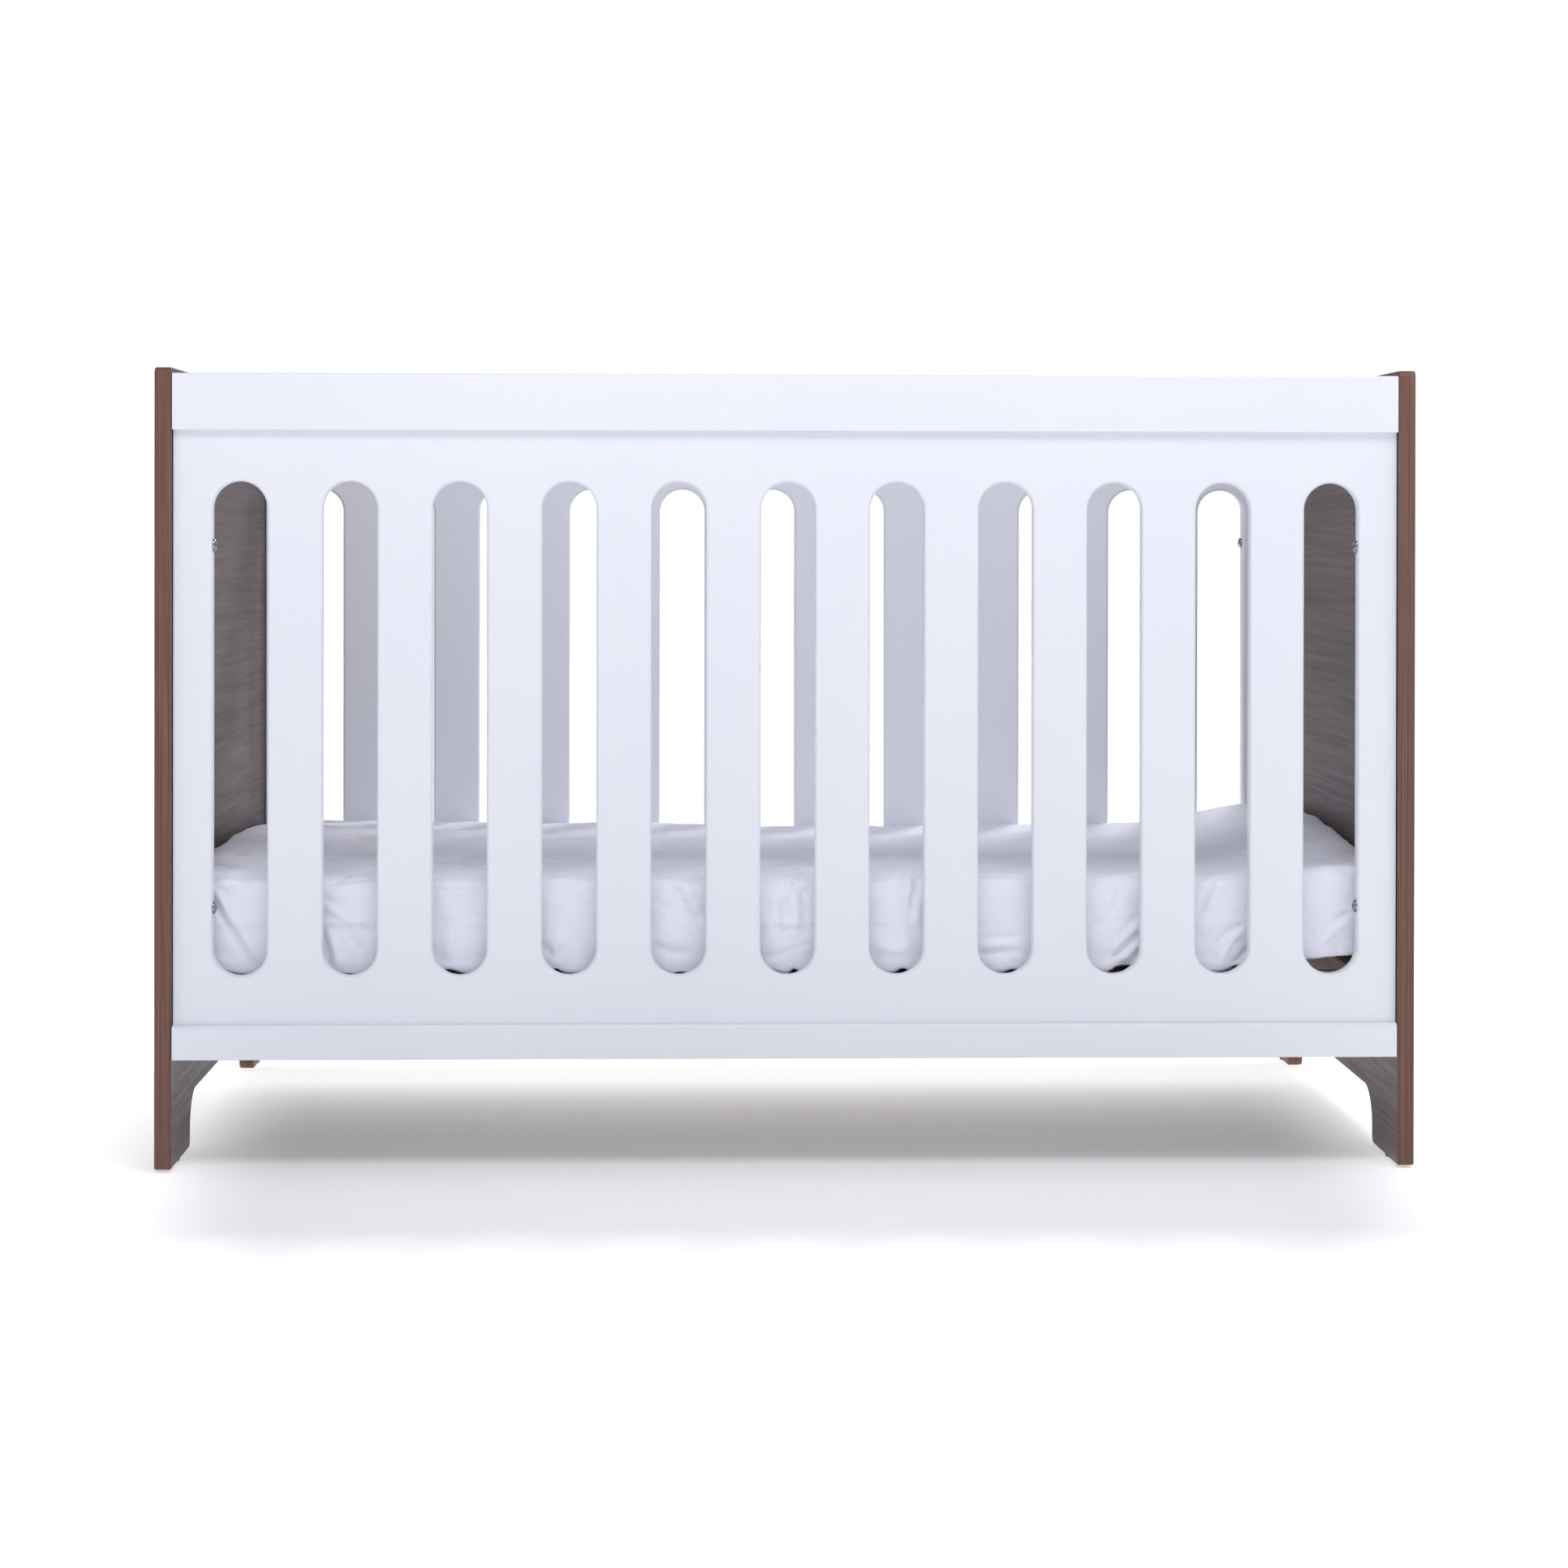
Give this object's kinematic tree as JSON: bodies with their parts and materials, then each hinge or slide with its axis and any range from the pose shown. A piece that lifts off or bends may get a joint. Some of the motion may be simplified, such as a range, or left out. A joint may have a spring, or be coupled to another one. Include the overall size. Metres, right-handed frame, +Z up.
{
  "type": "baby crib",
  "caption": "Fixed-side baby crib: slotted side panels between grooved rails, flat end panels with legs, lift-out slatted base and a mattress in a fitted sheet.",
  "frame": {"origin": "bottom centre of the crib, on the floor under the leg glides", "axes": "+X along the crib towards its right end seen from the front, +Y from the front slat panel towards the back one, +Z up"},
  "size_m": [1.357, 0.762, 0.863],
  "materials": {
    "white_lacquer": "satin",
    "walnut": "satin",
    "base_wood": "satin",
    "beech": "matte",
    "chrome": "polished",
    "zinc_steel": "satin",
    "glide_plastic": "matte",
    "foam": "matte",
    "cotton_sheet": "matte"
  },
  "bodies": {
    "frame": {"left_end_panel": "walnut", "right_end_panel": "walnut", "front_slat_panel": "white_lacquer", "back_slat_panel": "white_lacquer", "front_top_rail": "white_lacquer", "front_bottom_rail": "white_lacquer", "back_top_rail": "white_lacquer", "back_bottom_rail": "white_lacquer", "panel_bolt_front_left_upper": "chrome", "panel_bolt_front_left_lower": "chrome", "panel_bolt_front_right_upper": "chrome", "panel_bolt_front_right_lower": "chrome", "panel_bolt_back_left_upper": "chrome", "panel_bolt_back_left_lower": "chrome", "panel_bolt_back_right_upper": "chrome", "panel_bolt_back_right_lower": "chrome", "panel_insert_front_left_upper": "zinc_steel", "panel_insert_front_left_lower": "zinc_steel", "panel_insert_front_right_upper": "zinc_steel", "panel_insert_front_right_lower": "zinc_steel", "panel_insert_back_left_upper": "zinc_steel", "panel_insert_back_left_lower": "zinc_steel", "panel_insert_back_right_upper": "zinc_steel", "panel_insert_back_right_lower": "zinc_steel", "rail_dowel_front_top_left": "beech", "rail_dowel_front_top_right": "beech", "rail_dowel_front_bottom_left": "beech", "rail_dowel_front_bottom_right": "beech", "rail_dowel_back_top_left": "beech", "rail_dowel_back_top_right": "beech", "rail_dowel_back_bottom_left": "beech", "rail_dowel_back_bottom_right": "beech", "base_bracket_front_left": "zinc_steel", "base_bracket_front_right": "zinc_steel", "base_bracket_back_left": "zinc_steel", "base_bracket_back_right": "zinc_steel", "bracket_screw_front_left": "zinc_steel", "bracket_screw_front_right": "zinc_steel", "bracket_screw_back_left": "zinc_steel", "bracket_screw_back_right": "zinc_steel", "leg_glide_front_left": "glide_plastic", "leg_glide_front_right": "glide_plastic", "leg_glide_back_left": "glide_plastic", "leg_glide_back_right": "glide_plastic"},
    "bed_base": {"base_front_rail": "base_wood", "base_back_rail": "base_wood", "base_left_rail": "base_wood", "base_right_rail": "base_wood", "base_slat_1": "base_wood", "base_slat_2": "base_wood", "base_slat_3": "base_wood", "base_slat_4": "base_wood", "base_slat_5": "base_wood", "base_slat_6": "base_wood", "base_slat_7": "base_wood", "base_slat_8": "base_wood", "base_slat_9": "base_wood"},
    "mattress_and_sheet": {"mattress": "foam", "fitted_sheet": "cotton_sheet"}
  },
  "joints": [
    {"name": "base_lift", "type": "slide", "parent": "frame", "child": "bed_base", "axis": [0, 0, 1], "range_m": [0, 0.7]},
    {"name": "mattress_lift", "type": "slide", "parent": "bed_base", "child": "mattress_and_sheet", "axis": [0, 0, 1], "range_m": [0, 0.66]}
  ]
}
